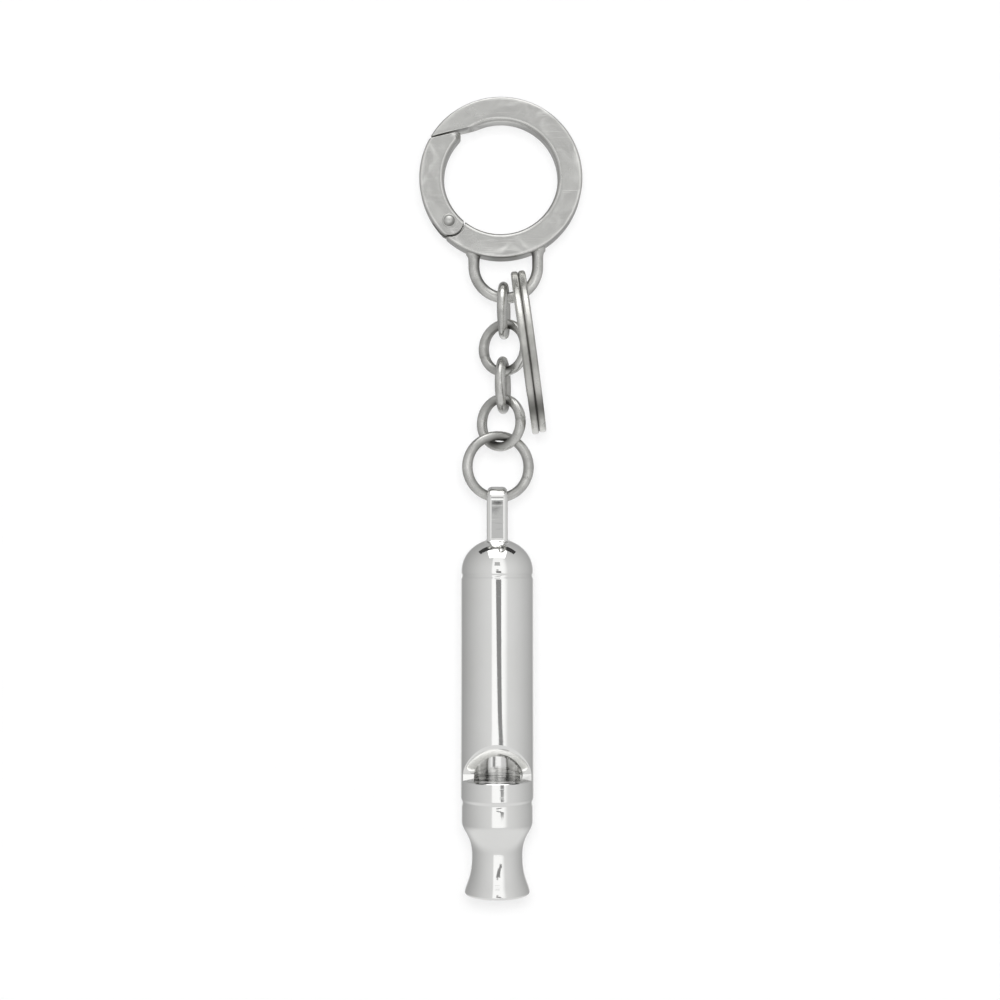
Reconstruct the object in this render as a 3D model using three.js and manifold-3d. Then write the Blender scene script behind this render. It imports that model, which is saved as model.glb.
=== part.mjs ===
// Whistle keyring: a sprung gate ring carries a bail, a chain of four round links, a split key ring,
// a jump ring and a tube whistle. It is modelled hanging, as it is carried.
// Millimetres and degrees. +X is to the right, +Z is up and -Y faces the viewer. The origin is the
// centre of the gate ring.
import * as THREE from 'three';
import { mergeVertices } from 'three/addons/utils/BufferGeometryUtils.js';
import Module from 'manifold-3d';

const wasm = await Module();
wasm.setup();

// Gate ring: a flat ring with rounded edges
const ringOuterRadius = 15.0;
const ringRadialWidth = 4.5;
const ringThickness = 3.7;
const ringEdgeRound = 0.9;

// Gate: the ring's left arc, which turns inwards on a pin
const hingeAngle = 220.6; // round the ring from +X towards +Z
const hingeInset = 0.25; // from the ring's middle radius inwards to the pin
const heelRadius = 2.65; // the gate's rounded end about the pin
const hingeGap = 0.35;
const latchAngle = 141.4; // where the latch cut crosses the ring's middle radius
const latchSlope = 13; // the cut rises towards the inside, which stops the gate from swinging out
const latchGap = 0.35;
const gateTipReach = 2.6; // from the latch's middle to the gate's tip, along the cut
const gateTipBevelLength = 0.9;
const gateTipBevelDepth = 1.1;

// Hinge: the gate's fork straddles a tongue on the ring body
const tongueThickness = 1.1;
const tongueNoseRadius = 1.7;
const tongueNeckWidth = 2.8;
const tongueRoot = 1.2; // how far the neck runs on into the ring body
const forkClearance = 0.3;
const pinRadius = 0.65;
const pinClearance = 0.08;
const pinHeadRadius = 1.1;
const pinHeadHeight = 0.2;
const pinHeadLift = 0.05; // between the head and the gate's cheek

// Gate spring: a hairpin leaf in a pocket beyond the tongue's nose
const springThickness = 0.3;
const springSpan = 1.3; // across both legs
const springLength = 2.6;
const springInset = 0.5; // from the pin's tangent inwards to the pocket's middle
const springClearance = 0.15;

// Bail: a U of round wire soldered under the ring
const bailWireDiameter = 2.04;
const bailLegSpacing = 11.74;
const bailDrop = 7.1; // from the ring's lowest edge to the wire's centre at the bottom of the U
const bailOffsetX = 0.92;
const solderGap = 0.12;

// Chain of round links, from the bail down: each link's sideways place and its turn about the vertical
const linkOuterDiameter = 10.6;
const linkWireDiameter = 1.75;
const linkGap = 0.2;
const linkPlaces = [
  { x: 0.55, turn: 86 },
  { x: 0.65, turn: -31 },
  { x: 0.4, turn: 83 },
  { x: 0.05, turn: -37 },
];

// Jump ring between the chain and the whistle
const jumpOuterDiameter = 13.12;
const jumpWireDiameter = 1.75;
const jumpGap = 0.25;
const jumpOffsetX = -0.5;
const jumpTurn = 10;

// Split key ring: two turns of flat wire, hanging on the bail beside the first link
const splitOuterDiameter = 30.0;
const splitRadialWidth = 2.2;
const splitTurnThickness = 1.1;
const splitTurnGap = 0.45;
const splitEdgeRound = 0.3;
const splitLean = 7.6;
const splitHangX = 3.3; // where its middle plane crosses the bail's wire
const splitBailGap = 0.2;
const splitJogAngle = 50; // round the ring, where the wire steps from one turn to the next
const splitJogPlace = 300; // round the ring from +Y towards +Z
const splitEndClearAngle = 8; // between the jog and each cut end

// Whistle end cap: a dome with a lug, whose cross hole takes the jump ring
const whistleOffsetX = -0.65;
const lugWidth = 3.95;
const lugTopRadius = 2.6;
const lugChamferAcross = 0.55;
const lugChamferDeep = 0.3;
const lugHoleRadius = 1.7;
const lugHoleMouthRadius = 2.15;
const lugLength = 6.9; // from the cross hole's centre down to the top of the dome
const lugRoot = 1.6; // how far the lug runs on into the dome
const domeRadius = 6.55;
const domeHeight = 5.9;
const capRimLength = 0.3;
const capSeamLength = 1.2;
const capSeamDepth = 0.2;
const capSpigotLength = 4.0;

// Whistle barrel: a thick tube with a sawn window near its lower end
const barrelRadius = 6.6;
const barrelWall = 1.8;
const barrelLength = 39.3;
const spigotClearance = 0.1;
const windowLedgeHeight = 3.15; // from the barrel's lower end up to the window's flat ledge
const windowFaceDepth = 2.4; // from the barrel's axis forwards to the window's upright face
const windowFaceHeight = 1.7;
const windowHeight = 6.9; // from the ledge to the top of the slanted cut

// Whistle mouthpiece: a turned end with a waist, a flared rim and a bore
const collarSeamLength = 2.0;
const collarSeamDepth = 0.3;
const collarRadius = 6.45;
const collarLength = 2.2;
const neckRadius = 4.57;
const neckDrop = 6.3; // from the collar down to the waist
const rimRadius = 5.87;
const rimDrop = 6.4; // from the waist down to the rim
const lipRound = 0.5;
const mouthBoreRadius = 3.3;
const mouthBoreFlare = 0.5;
const plenumLength = 1.9; // straight bore below the collar seam
const plenumConeLength = 3.5;
const mouthSpigotWall = 0.55;
const mouthSpigotLength = 2.1;

// Fipple block: the plug that leaves a windway in front of its flat
const blockLength = 6.5;
const blockFlatDepth = 3.6; // from the barrel's axis forwards to the flat

// Smoothness of the round shapes
const ringSegments = 72;
const wireSegments = 32;
const wireSides = 10;
const turnedSegments = 40;
const cornerSegments = 3;
const curveSegments = 7;
const holeSegments = 24;
const splitStepsPerTurn = 48;

// Sizes that follow from the ones above
const radians = THREE.MathUtils.degToRad;
const ringInnerRadius = ringOuterRadius - ringRadialWidth;
const ringMidRadius = ringOuterRadius - ringRadialWidth / 2;
const hingeRadius = ringMidRadius - hingeInset;
const slotWidth = tongueThickness + 2 * forkClearance;
const slotEnd = tongueNoseRadius + forkClearance;
const beyondRing = ringOuterRadius * 2; // a reach that clears the whole ring
const bailBendRadius = bailLegSpacing / 2;
const bailWireRadius = bailWireDiameter / 2;
const bailBendZ = -(ringOuterRadius + bailDrop) + bailBendRadius;
const barrelBore = barrelRadius - barrelWall;

const silver = new THREE.MeshStandardMaterial({ color: 0xb9b9b6, roughness: 0.32, metalness: 1 });
const wornSilver = new THREE.MeshStandardMaterial({ color: 0xa9aaa6, roughness: 0.4, metalness: 1 });
const polishedSilver = new THREE.MeshStandardMaterial({ color: 0xdededc, roughness: 0.08, metalness: 1 });
const springSteel = new THREE.MeshStandardMaterial({ color: 0x8a8c8e, roughness: 0.45, metalness: 1 });

// A closed three.js geometry as a solid for cutting and joining
function solidOf(geometry) {
  const bare = geometry.clone();
  bare.deleteAttribute('normal');
  bare.deleteAttribute('uv');
  const merged = mergeVertices(bare, 1e-4);
  const index = merged.index.array;
  const corners = [];
  for (let i = 0; i < index.length; i += 3) {
    const [a, b, c] = [index[i], index[i + 1], index[i + 2]];
    if (a !== b && b !== c && c !== a) corners.push(a, b, c);
  }
  const vertProperties = new Float32Array(merged.attributes.position.array);
  const triVerts = new Uint32Array(corners);
  if (signedVolume(vertProperties, triVerts) < 0) triVerts.reverse();
  return new wasm.Manifold(new wasm.Mesh({ numProp: 3, vertProperties, triVerts }));
}

// Six times the volume inside a triangle mesh, negative when its faces point inwards
function signedVolume(vertices, triangles) {
  const corner = (i) => new THREE.Vector3().fromArray(vertices, 3 * triangles[i]);
  let total = 0;
  for (let i = 0; i < triangles.length; i += 3) {
    total += corner(i).dot(corner(i + 1).cross(corner(i + 2)));
  }
  return total;
}

// A solid as a three.js geometry
function geometryOf(solid) {
  const mesh = solid.getMesh();
  const geometry = new THREE.BufferGeometry();
  geometry.setAttribute('position', new THREE.BufferAttribute(new Float32Array(mesh.vertProperties), 3));
  geometry.setIndex(new THREE.BufferAttribute(new Uint32Array(mesh.triVerts), 1));
  geometry.computeVertexNormals();
  return geometry;
}

function node(name, shape, material) {
  const geometry = shape.isBufferGeometry ? geometryOf(solidOf(shape)) : geometryOf(shape);
  const mesh = new THREE.Mesh(geometry, material);
  mesh.name = name;
  return mesh;
}

// A prism with its outline in X and Z, running from low to high along Y
function prismAlongY(shape, low, high) {
  const options = { depth: high - low, bevelEnabled: false, curveSegments: holeSegments };
  return new THREE.ExtrudeGeometry(shape, options).rotateX(Math.PI / 2).translate(0, high, 0);
}

// A geometry drawn in X and Y and extruded along Z, laid so that it is drawn in Y and Z and runs along X
function layAlongX(geometry) {
  const turn = new THREE.Matrix4().set(0, 0, 1, 0, 1, 0, 0, 0, 0, 1, 0, 0, 0, 0, 0, 1);
  return geometry.applyMatrix4(turn);
}

function polygon(points) {
  return new THREE.Shape(points.map(([x, y]) => new THREE.Vector2(x, y)));
}

function disc(centre, radius) {
  return new THREE.Shape().absarc(centre.x, centre.y, radius, 0, 2 * Math.PI);
}

// Points of a rectangle with rounded corners, anticlockwise
function roundedRectangle(width, height, round) {
  const points = [];
  for (let corner = 0; corner < 4; corner += 1) {
    const across = corner === 0 || corner === 3 ? 1 : -1;
    const up = corner < 2 ? 1 : -1;
    for (let i = 0; i <= cornerSegments; i += 1) {
      const angle = (Math.PI / 2) * (corner + i / cornerSegments);
      const x = across * (width / 2 - round) + round * Math.cos(angle);
      const y = up * (height / 2 - round) + round * Math.sin(angle);
      points.push(new THREE.Vector2(x, y));
    }
  }
  return points;
}

// A closed profile of radius and height turned about Y
function turnedAboutY(profile, segments) {
  return new THREE.LatheGeometry([...profile, profile[0].clone()], segments);
}

// A closed profile of radius and height turned about Z
function turnedAboutZ(profile) {
  return turnedAboutY(profile, turnedSegments).rotateX(Math.PI / 2);
}

// A round wire ring in the X-Z plane, centred on the origin
function wireRing(outerDiameter, wireDiameter) {
  const wireRadius = wireDiameter / 2;
  const middle = outerDiameter / 2 - wireRadius;
  const profile = [];
  for (let i = 0; i < wireSides; i += 1) {
    const angle = (2 * Math.PI * i) / wireSides;
    profile.push(new THREE.Vector2(middle + wireRadius * Math.cos(angle), wireRadius * Math.sin(angle)));
  }
  return turnedAboutY(profile, wireSegments);
}

// A tube with closed ends through rings of points that all have the same count
function tubeThrough(rings) {
  const count = rings[0].length;
  const positions = rings.flat().flatMap((point) => point.toArray());
  const index = [];
  for (let ring = 0; ring + 1 < rings.length; ring += 1) {
    for (let i = 0; i < count; i += 1) {
      const a = ring * count + i;
      const b = ring * count + ((i + 1) % count);
      index.push(a, b, b + count, a, b + count, a + count);
    }
  }
  const last = (rings.length - 1) * count;
  for (let i = 1; i + 1 < count; i += 1) {
    index.push(0, i + 1, i);
    index.push(last, last + i, last + i + 1);
  }
  const geometry = new THREE.BufferGeometry();
  geometry.setAttribute('position', new THREE.Float32BufferAttribute(positions, 3));
  geometry.setIndex(index);
  return geometry;
}

// The hinge's own frame: along the gate from the pin, and outwards from the ring's centre
const hingeTurn = radians(hingeAngle);
const hingeOut = new THREE.Vector2(Math.cos(hingeTurn), Math.sin(hingeTurn));
const hingeAlong = new THREE.Vector2(hingeOut.y, -hingeOut.x);
const hingePin = hingeOut.clone().multiplyScalar(hingeRadius);

function atHinge(along, out) {
  return hingePin.clone().addScaledVector(hingeAlong, along).addScaledVector(hingeOut, out);
}

function hingePlate(along0, along1, out0, out1, width) {
  const corners = [atHinge(along0, out0), atHinge(along0, out1), atHinge(along1, out1), atHinge(along1, out0)];
  return solidOf(prismAlongY(new THREE.Shape(corners), -width / 2, width / 2));
}

// The latch cut's own frame: inwards along the cut, and up across it
const latchMiddle = new THREE.Vector2(Math.cos(radians(latchAngle)), Math.sin(radians(latchAngle)));
latchMiddle.multiplyScalar(ringMidRadius);
const latchInward = new THREE.Vector2(Math.cos(radians(latchSlope)), Math.sin(radians(latchSlope)));
const latchUp = new THREE.Vector2(-latchInward.y, latchInward.x);

function atLatch(inward, up) {
  return latchMiddle.clone().addScaledVector(latchInward, inward).addScaledVector(latchUp, up);
}

// The stretch of ring between the latch cut and the pin, and the round heel about the pin
function gateZone(latchRise, heel) {
  const outline = [
    atHinge(0, beyondRing),
    atHinge(0, -hingeRadius),
    atLatch(ringRadialWidth + latchGap, latchRise),
    atLatch(-beyondRing, latchRise),
  ];
  const stretch = solidOf(prismAlongY(new THREE.Shape(outline), -ringThickness, ringThickness));
  const round = solidOf(prismAlongY(disc(hingePin, heel), -ringThickness, ringThickness));
  return stretch.add(round);
}

function pinHole(radius) {
  return solidOf(prismAlongY(disc(hingePin, radius), -ringThickness, ringThickness));
}

// Whole ring before the gate is cut out of it
const ringSection = roundedRectangle(ringRadialWidth, ringThickness, ringEdgeRound);
const ringProfile = ringSection.map((point) => new THREE.Vector2(point.x + ringMidRadius, point.y));
const wholeRing = solidOf(turnedAboutY(ringProfile, ringSegments));

function makeRingBody() {
  const neckEnd = -(heelRadius + hingeGap + tongueRoot);
  const neck = hingePlate(neckEnd, 0, -tongueNeckWidth / 2, tongueNeckWidth / 2, tongueThickness);
  const nose = solidOf(
    prismAlongY(disc(hingePin, tongueNoseRadius), -tongueThickness / 2, tongueThickness / 2),
  );
  const tongue = neck.add(nose).subtract(pinHole(pinRadius + pinClearance));
  return wholeRing.subtract(gateZone(latchGap, heelRadius + hingeGap)).add(tongue);
}

function makeGate() {
  const fork = hingePlate(-beyondRing / 2, slotEnd, -beyondRing / 2, beyondRing / 2, slotWidth);
  const pocketHalf = springSpan / 2 + springClearance;
  const pocketEnd = slotEnd + springLength + springClearance;
  const pocket = hingePlate(0, pocketEnd, -springInset - pocketHalf, -springInset + pocketHalf, slotWidth);
  let gate = wholeRing.intersect(gateZone(0, heelRadius));
  gate = gate.subtract(fork).subtract(pocket).subtract(pinHole(pinRadius + pinClearance));
  return gate.subtract(gateTipCut());
}

// The gate's tip is squared off where the cut would run out to a sliver, and bevelled on both faces
function gateTipCut() {
  const half = ringThickness / 2;
  const tip = atLatch(gateTipReach, 0);
  const bevel = polygon([
    [tip.x - gateTipBevelLength, -half - gateTipBevelDepth / 10],
    [tip.x - gateTipBevelLength, -half],
    [tip.x, -half + gateTipBevelDepth],
    [tip.x, half - gateTipBevelDepth],
    [tip.x - gateTipBevelLength, half],
    [tip.x - gateTipBevelLength, half + gateTipBevelDepth / 10],
    [tip.x + ringRadialWidth, half + gateTipBevelDepth / 10],
    [tip.x + ringRadialWidth, -half - gateTipBevelDepth / 10],
  ]);
  const depth = ringRadialWidth;
  const cut = new THREE.ExtrudeGeometry(bevel, { depth, bevelEnabled: false });
  return solidOf(cut.translate(0, 0, tip.y - depth / 2));
}

function makeGatePin() {
  const cheek = ringThickness / 2 + pinHeadLift;
  const top = cheek + pinHeadHeight;
  const outline = [
    [0, -top],
    [pinHeadRadius - pinHeadHeight, -top],
    [pinHeadRadius, -cheek],
    [pinRadius, -cheek],
    [pinRadius, cheek],
    [pinHeadRadius, cheek],
    [pinHeadRadius - pinHeadHeight, top],
    [0, top],
  ];
  const profile = outline.map(([radius, height]) => new THREE.Vector2(radius, height));
  return new THREE.LatheGeometry(profile, holeSegments).translate(hingePin.x, 0, hingePin.y);
}

function makeGateSpring() {
  const half = springSpan / 2;
  const inner = half - springThickness;
  const start = tongueNoseRadius + springClearance;
  const bend = slotEnd + springLength - half;
  const hairpin = new THREE.Shape();
  hairpin.moveTo(start, -half);
  hairpin.lineTo(bend, -half);
  hairpin.absarc(bend, 0, half, -Math.PI / 2, Math.PI / 2);
  hairpin.lineTo(start, half);
  hairpin.lineTo(start, inner);
  hairpin.lineTo(bend, inner);
  hairpin.absarc(bend, 0, inner, Math.PI / 2, -Math.PI / 2, true);
  hairpin.lineTo(start, -inner);
  const points = hairpin.getPoints(cornerSegments).map((point) => atHinge(point.x, point.y - springInset));
  const width = slotWidth - 2 * springClearance;
  return prismAlongY(new THREE.Shape(points), -width / 2, width / 2);
}

function makeBail() {
  const rings = [];
  const legTop = -ringInnerRadius;
  const addRing = (x, z, tilt) => {
    const ring = [];
    for (let i = 0; i < wireSides; i += 1) {
      const angle = (2 * Math.PI * i) / wireSides;
      const across = bailWireRadius * Math.cos(angle);
      const deep = bailWireRadius * Math.sin(angle);
      ring.push(new THREE.Vector3(x + across * Math.cos(tilt), deep, z + across * Math.sin(tilt)));
    }
    rings.push(ring);
  };
  addRing(bailOffsetX - bailBendRadius, legTop, Math.PI);
  for (let i = 0; i <= wireSegments / 2; i += 1) {
    const angle = Math.PI * (1 + (2 * i) / wireSegments);
    const x = bailOffsetX + bailBendRadius * Math.cos(angle);
    addRing(x, bailBendZ + bailBendRadius * Math.sin(angle), angle);
  }
  addRing(bailOffsetX + bailBendRadius, legTop, 2 * Math.PI);
  const seat = new THREE.CylinderGeometry(
    ringOuterRadius + solderGap,
    ringOuterRadius + solderGap,
    2 * ringThickness,
    ringSegments,
  );
  return solidOf(tubeThrough(rings)).subtract(solidOf(seat));
}

// Split key ring: rings of points along its wire, in its own frame with the coil's axis on X
function splitRingSections() {
  const pitch = splitTurnThickness + splitTurnGap;
  const middle = (splitOuterDiameter - splitRadialWidth) / 2;
  const section = roundedRectangle(splitTurnThickness, splitRadialWidth, splitEdgeRound);
  const first = splitJogAngle / 2 + splitEndClearAngle;
  const last = 720 - first;
  const steps = Math.round((splitStepsPerTurn * (last - first)) / 360);
  const rings = [];
  for (let i = 0; i <= steps; i += 1) {
    const angle = first + ((last - first) * i) / steps;
    const jog = THREE.MathUtils.smootherstep(angle, 360 - splitJogAngle / 2, 360 + splitJogAngle / 2);
    const place = radians(angle + splitJogPlace);
    rings.push(
      section.map((point) => {
        const radius = middle + point.y;
        const axial = pitch * (jog - 0.5) + point.x;
        return new THREE.Vector3(axial, radius * Math.cos(place), radius * Math.sin(place));
      }),
    );
  }
  return rings;
}

// Least distance between points on the wire that are over half a turn apart along it
function leastGapBetweenTurns(rings) {
  let least = Infinity;
  const apart = splitStepsPerTurn / 2;
  for (let a = 0; a < rings.length; a += 1) {
    for (let b = a + apart; b < rings.length; b += 1) {
      for (const p of rings[a]) {
        for (const q of rings[b]) least = Math.min(least, p.distanceTo(q));
      }
    }
  }
  return least;
}

// The split ring leans on the bail: its inner edge clears the wire's inside by the named gap
function splitRingCentre() {
  const lean = radians(splitLean);
  const up = new THREE.Vector2(-Math.sin(lean), Math.cos(lean));
  const across = new THREE.Vector2(Math.cos(lean), Math.sin(lean));
  const aside = splitHangX - bailOffsetX;
  const hang = new THREE.Vector2(splitHangX, bailBendZ - Math.sqrt(bailBendRadius ** 2 - aside ** 2));
  const halfThickness = splitTurnThickness + splitTurnGap / 2;
  const corner = hang.clone().addScaledVector(across, halfThickness);
  corner.sub(new THREE.Vector2(bailOffsetX, bailBendZ));
  const reach = bailBendRadius - bailWireRadius - splitBailGap;
  const rise = corner.dot(up);
  const lift = -rise - Math.sqrt(rise ** 2 - corner.lengthSq() + reach ** 2);
  const innerRadius = splitOuterDiameter / 2 - splitRadialWidth;
  return hang.addScaledVector(up, lift - innerRadius);
}

// Heights down the chain: each link hangs in the one above it
const linkMidRadius = (linkOuterDiameter - linkWireDiameter) / 2;
const jumpMidRadius = (jumpOuterDiameter - jumpWireDiameter) / 2;
const linkCentres = [];
let wireBelow = bailBendZ - bailBendRadius;
let wireBelowRadius = bailWireRadius;
for (const place of linkPlaces) {
  const hangs = wireBelow + wireBelowRadius + linkGap + linkWireDiameter / 2;
  linkCentres.push(new THREE.Vector3(place.x, 0, hangs - linkMidRadius));
  wireBelow = hangs - 2 * linkMidRadius;
  wireBelowRadius = linkWireDiameter / 2;
}
const jumpTop = wireBelow + linkWireDiameter / 2 + jumpGap + jumpWireDiameter / 2;
const jumpCentre = new THREE.Vector3(jumpOffsetX, 0, jumpTop - jumpMidRadius);
const lugHoleZ = jumpTop - 2 * jumpMidRadius + jumpWireDiameter / 2 + jumpGap - lugHoleRadius;

// Heights down the whistle, from its cross hole
const domeTop = -lugLength;
const domeFoot = domeTop - domeHeight;
const capSeamTop = domeFoot - capRimLength;
const barrelTop = capSeamTop - capSeamLength;
const barrelFoot = barrelTop - barrelLength;
const windowLedge = barrelFoot + windowLedgeHeight;
const collarTop = barrelFoot - collarSeamLength;
const collarFoot = collarTop - collarLength;
const waist = collarFoot - neckDrop;
const rim = waist - rimDrop;
const mouthFoot = rim - lipRound;

function profileOf(points) {
  return points.map(([radius, height]) => new THREE.Vector2(radius, height));
}

function lugHole() {
  const half = lugWidth / 2;
  const profile = profileOf([
    [0, -half * 1.1],
    [lugHoleMouthRadius, -half * 1.1],
    [lugHoleMouthRadius, -half],
    [lugHoleRadius, -half / 3],
    [lugHoleRadius, half / 3],
    [lugHoleMouthRadius, half],
    [lugHoleMouthRadius, half * 1.1],
    [0, half * 1.1],
  ]);
  return solidOf(new THREE.LatheGeometry(profile, holeSegments).rotateZ(Math.PI / 2));
}

function makeEndCap() {
  const spigot = barrelBore - spigotClearance;
  const seam = domeRadius - capSeamDepth;
  const profile = profileOf([
    [0, barrelTop - capSpigotLength],
    [spigot, barrelTop - capSpigotLength],
    [spigot, barrelTop],
    [seam, barrelTop],
    [seam, capSeamTop],
    [domeRadius, capSeamTop],
  ]);
  for (let i = 0; i <= curveSegments; i += 1) {
    const angle = (Math.PI / 2) * (i / curveSegments);
    profile.push(new THREE.Vector2(domeRadius * Math.cos(angle), domeFoot + domeHeight * Math.sin(angle)));
  }
  profile.at(-1).x = 0;
  const dome = new THREE.LatheGeometry(profile, turnedSegments).rotateX(Math.PI / 2);
  const inset = lugTopRadius - lugChamferDeep;
  const outline = new THREE.Shape();
  outline.moveTo(-inset, domeTop - lugRoot);
  outline.lineTo(inset, domeTop - lugRoot);
  outline.lineTo(inset, 0);
  outline.absarc(0, 0, inset, 0, Math.PI);
  const lug = layAlongX(
    new THREE.ExtrudeGeometry(outline, {
      depth: lugWidth - 2 * lugChamferAcross,
      bevelThickness: lugChamferAcross,
      bevelSize: lugChamferDeep,
      bevelSegments: 1,
      curveSegments: holeSegments / 2,
    }),
  );
  lug.translate(-(lugWidth - 2 * lugChamferAcross) / 2, 0, 0);
  return solidOf(dome).add(solidOf(lug)).subtract(lugHole());
}

// The window: a flat ledge below, a short upright face, and a slanted cut above it
function windowCut() {
  const front = -2 * barrelRadius;
  const slantRun = barrelRadius - windowFaceDepth;
  const slantRise = windowHeight - windowFaceHeight;
  const beyond = (slantRise * (-front - windowFaceDepth)) / slantRun;
  const outline = polygon([
    [-windowFaceDepth, windowLedge],
    [-windowFaceDepth, windowLedge + windowFaceHeight],
    [front, windowLedge + windowFaceHeight + beyond],
    [front, windowLedge],
  ]);
  const cut = layAlongX(new THREE.ExtrudeGeometry(outline, { depth: 4 * barrelRadius, bevelEnabled: false }));
  return solidOf(cut.translate(-2 * barrelRadius, 0, 0));
}

const mouthSpigotInner = barrelBore + spigotClearance;
const mouthSpigotOuter = mouthSpigotInner + mouthSpigotWall;

function makeBarrel() {
  const socket = mouthSpigotOuter + spigotClearance;
  const socketTop = barrelFoot + mouthSpigotLength + spigotClearance;
  const profile = profileOf([
    [barrelRadius, barrelFoot],
    [barrelRadius, barrelTop],
    [barrelBore, barrelTop],
    [barrelBore, socketTop],
    [socket, socketTop],
    [socket, barrelFoot],
  ]);
  return solidOf(turnedAboutZ(profile)).subtract(windowCut());
}

function makeMouthpiece() {
  const shoulder = new THREE.CubicBezierCurve(
    new THREE.Vector2(collarRadius, collarFoot),
    new THREE.Vector2(collarRadius, collarFoot - 0.32 * neckDrop),
    new THREE.Vector2(neckRadius, collarFoot - 0.38 * neckDrop),
    new THREE.Vector2(neckRadius, waist),
  );
  const flare = new THREE.CubicBezierCurve(
    new THREE.Vector2(neckRadius, waist),
    new THREE.Vector2(neckRadius, waist - 0.61 * rimDrop),
    new THREE.Vector2(neckRadius + 0.75 * (rimRadius - neckRadius), waist - 0.72 * rimDrop),
    new THREE.Vector2(rimRadius, rim),
  );
  const lip = [];
  for (let i = 1; i <= cornerSegments; i += 1) {
    const angle = (Math.PI / 2) * (i / cornerSegments);
    lip.push([rimRadius - lipRound + lipRound * Math.cos(angle), rim - lipRound * Math.sin(angle)]);
  }
  const seam = barrelRadius - collarSeamDepth;
  const plenumFoot = collarTop - plenumLength;
  const profile = [
    ...profileOf([
      [mouthSpigotInner, barrelFoot + mouthSpigotLength],
      [mouthSpigotOuter, barrelFoot + mouthSpigotLength],
      [mouthSpigotOuter, barrelFoot],
      [seam, barrelFoot],
      [seam, collarTop],
      [collarRadius, collarTop],
    ]),
    ...shoulder.getPoints(curveSegments),
    ...flare.getPoints(curveSegments).slice(1),
    ...profileOf(lip),
    ...profileOf([
      [mouthBoreRadius + mouthBoreFlare, mouthFoot],
      [mouthBoreRadius, mouthFoot + mouthBoreFlare],
      [mouthBoreRadius, plenumFoot - plenumConeLength],
      [mouthSpigotInner, plenumFoot],
    ]),
  ];
  return turnedAboutZ(profile);
}

function makeFippleBlock() {
  const radius = barrelBore - spigotClearance;
  const foot = windowLedge - blockLength;
  const plug = new THREE.LatheGeometry(
    profileOf([
      [0, foot],
      [radius, foot],
      [radius, windowLedge],
      [0, windowLedge],
    ]),
    turnedSegments,
  );
  const windway = new THREE.BoxGeometry(4 * radius, radius, 2 * blockLength);
  windway.translate(0, -blockFlatDepth - radius / 2, windowLedge - blockLength / 2);
  return solidOf(plug.rotateX(Math.PI / 2)).subtract(solidOf(windway));
}

// Assembly, from the top down
const keyring = new THREE.Group();
keyring.add(node('ring_body', makeRingBody(), silver));
keyring.add(node('gate', makeGate(), silver));
keyring.add(node('gate_pin', makeGatePin(), silver));
keyring.add(node('gate_spring', makeGateSpring(), springSteel));
keyring.add(node('bail', makeBail(), wornSilver));

linkCentres.forEach((centre, i) => {
  const link = node(`chain_link_${i + 1}`, wireRing(linkOuterDiameter, linkWireDiameter), wornSilver);
  link.position.copy(centre);
  link.rotation.z = radians(linkPlaces[i].turn);
  keyring.add(link);
});

const splitSections = splitRingSections();
const splitRing = node('split_ring', tubeThrough(splitSections), wornSilver);
const splitCentre = splitRingCentre();
splitRing.position.set(splitCentre.x, 0, splitCentre.y);
splitRing.rotation.y = -radians(splitLean);
keyring.add(splitRing);
console.log(`split ring: least gap between turns ${leastGapBetweenTurns(splitSections).toFixed(2)} mm`);

const jumpRing = node('jump_ring', wireRing(jumpOuterDiameter, jumpWireDiameter), wornSilver);
jumpRing.position.copy(jumpCentre);
jumpRing.rotation.z = radians(jumpTurn);
keyring.add(jumpRing);

const whistle = new THREE.Group();
whistle.position.set(whistleOffsetX, 0, lugHoleZ);
whistle.add(node('end_cap', makeEndCap(), polishedSilver));
whistle.add(node('barrel', makeBarrel(), polishedSilver));
whistle.add(node('mouthpiece', makeMouthpiece(), polishedSilver));
whistle.add(node('fipple_block', makeFippleBlock(), silver));
keyring.add(whistle);

export default keyring;
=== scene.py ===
"""A whistle keyring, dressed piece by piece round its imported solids."""
import math

import bmesh
import bpy
import numpy as np
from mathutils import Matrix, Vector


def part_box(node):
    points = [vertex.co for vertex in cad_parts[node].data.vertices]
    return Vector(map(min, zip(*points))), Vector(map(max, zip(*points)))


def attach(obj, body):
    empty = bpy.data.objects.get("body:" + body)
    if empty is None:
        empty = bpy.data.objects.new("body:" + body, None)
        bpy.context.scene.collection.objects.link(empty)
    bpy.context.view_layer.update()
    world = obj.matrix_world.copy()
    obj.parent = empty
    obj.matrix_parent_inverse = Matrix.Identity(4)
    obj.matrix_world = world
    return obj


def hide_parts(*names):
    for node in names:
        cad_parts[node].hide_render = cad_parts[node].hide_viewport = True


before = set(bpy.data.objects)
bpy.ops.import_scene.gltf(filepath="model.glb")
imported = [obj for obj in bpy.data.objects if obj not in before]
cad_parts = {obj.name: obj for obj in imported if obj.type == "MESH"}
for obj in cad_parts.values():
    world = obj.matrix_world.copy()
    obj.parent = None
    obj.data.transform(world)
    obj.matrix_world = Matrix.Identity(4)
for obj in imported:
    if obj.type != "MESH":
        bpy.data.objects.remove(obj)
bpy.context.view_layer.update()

# Ring body
# The fixed three quarters of a flat cast ring, polished to a satin and knocked about in use.
# Its ends are a slanted latch face at the upper left and a hollow seat round the gate's hinge.
mm = 0.001
ring_outer, ring_inner, ring_thick = 15.0, 10.5, 3.7
inner_round, outer_round, cut_ease = 0.7, 0.42, 0.12
ring_middle = (ring_outer + ring_inner) / 2
hinge_inset, heel_radius, hinge_gap = 0.25, 2.65, 0.35
hinge_angle, hinge_radius = math.radians(220.6), ring_middle - hinge_inset
latch_angle, latch_slope, latch_gap = math.radians(141.4), math.radians(13), 0.35
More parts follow.
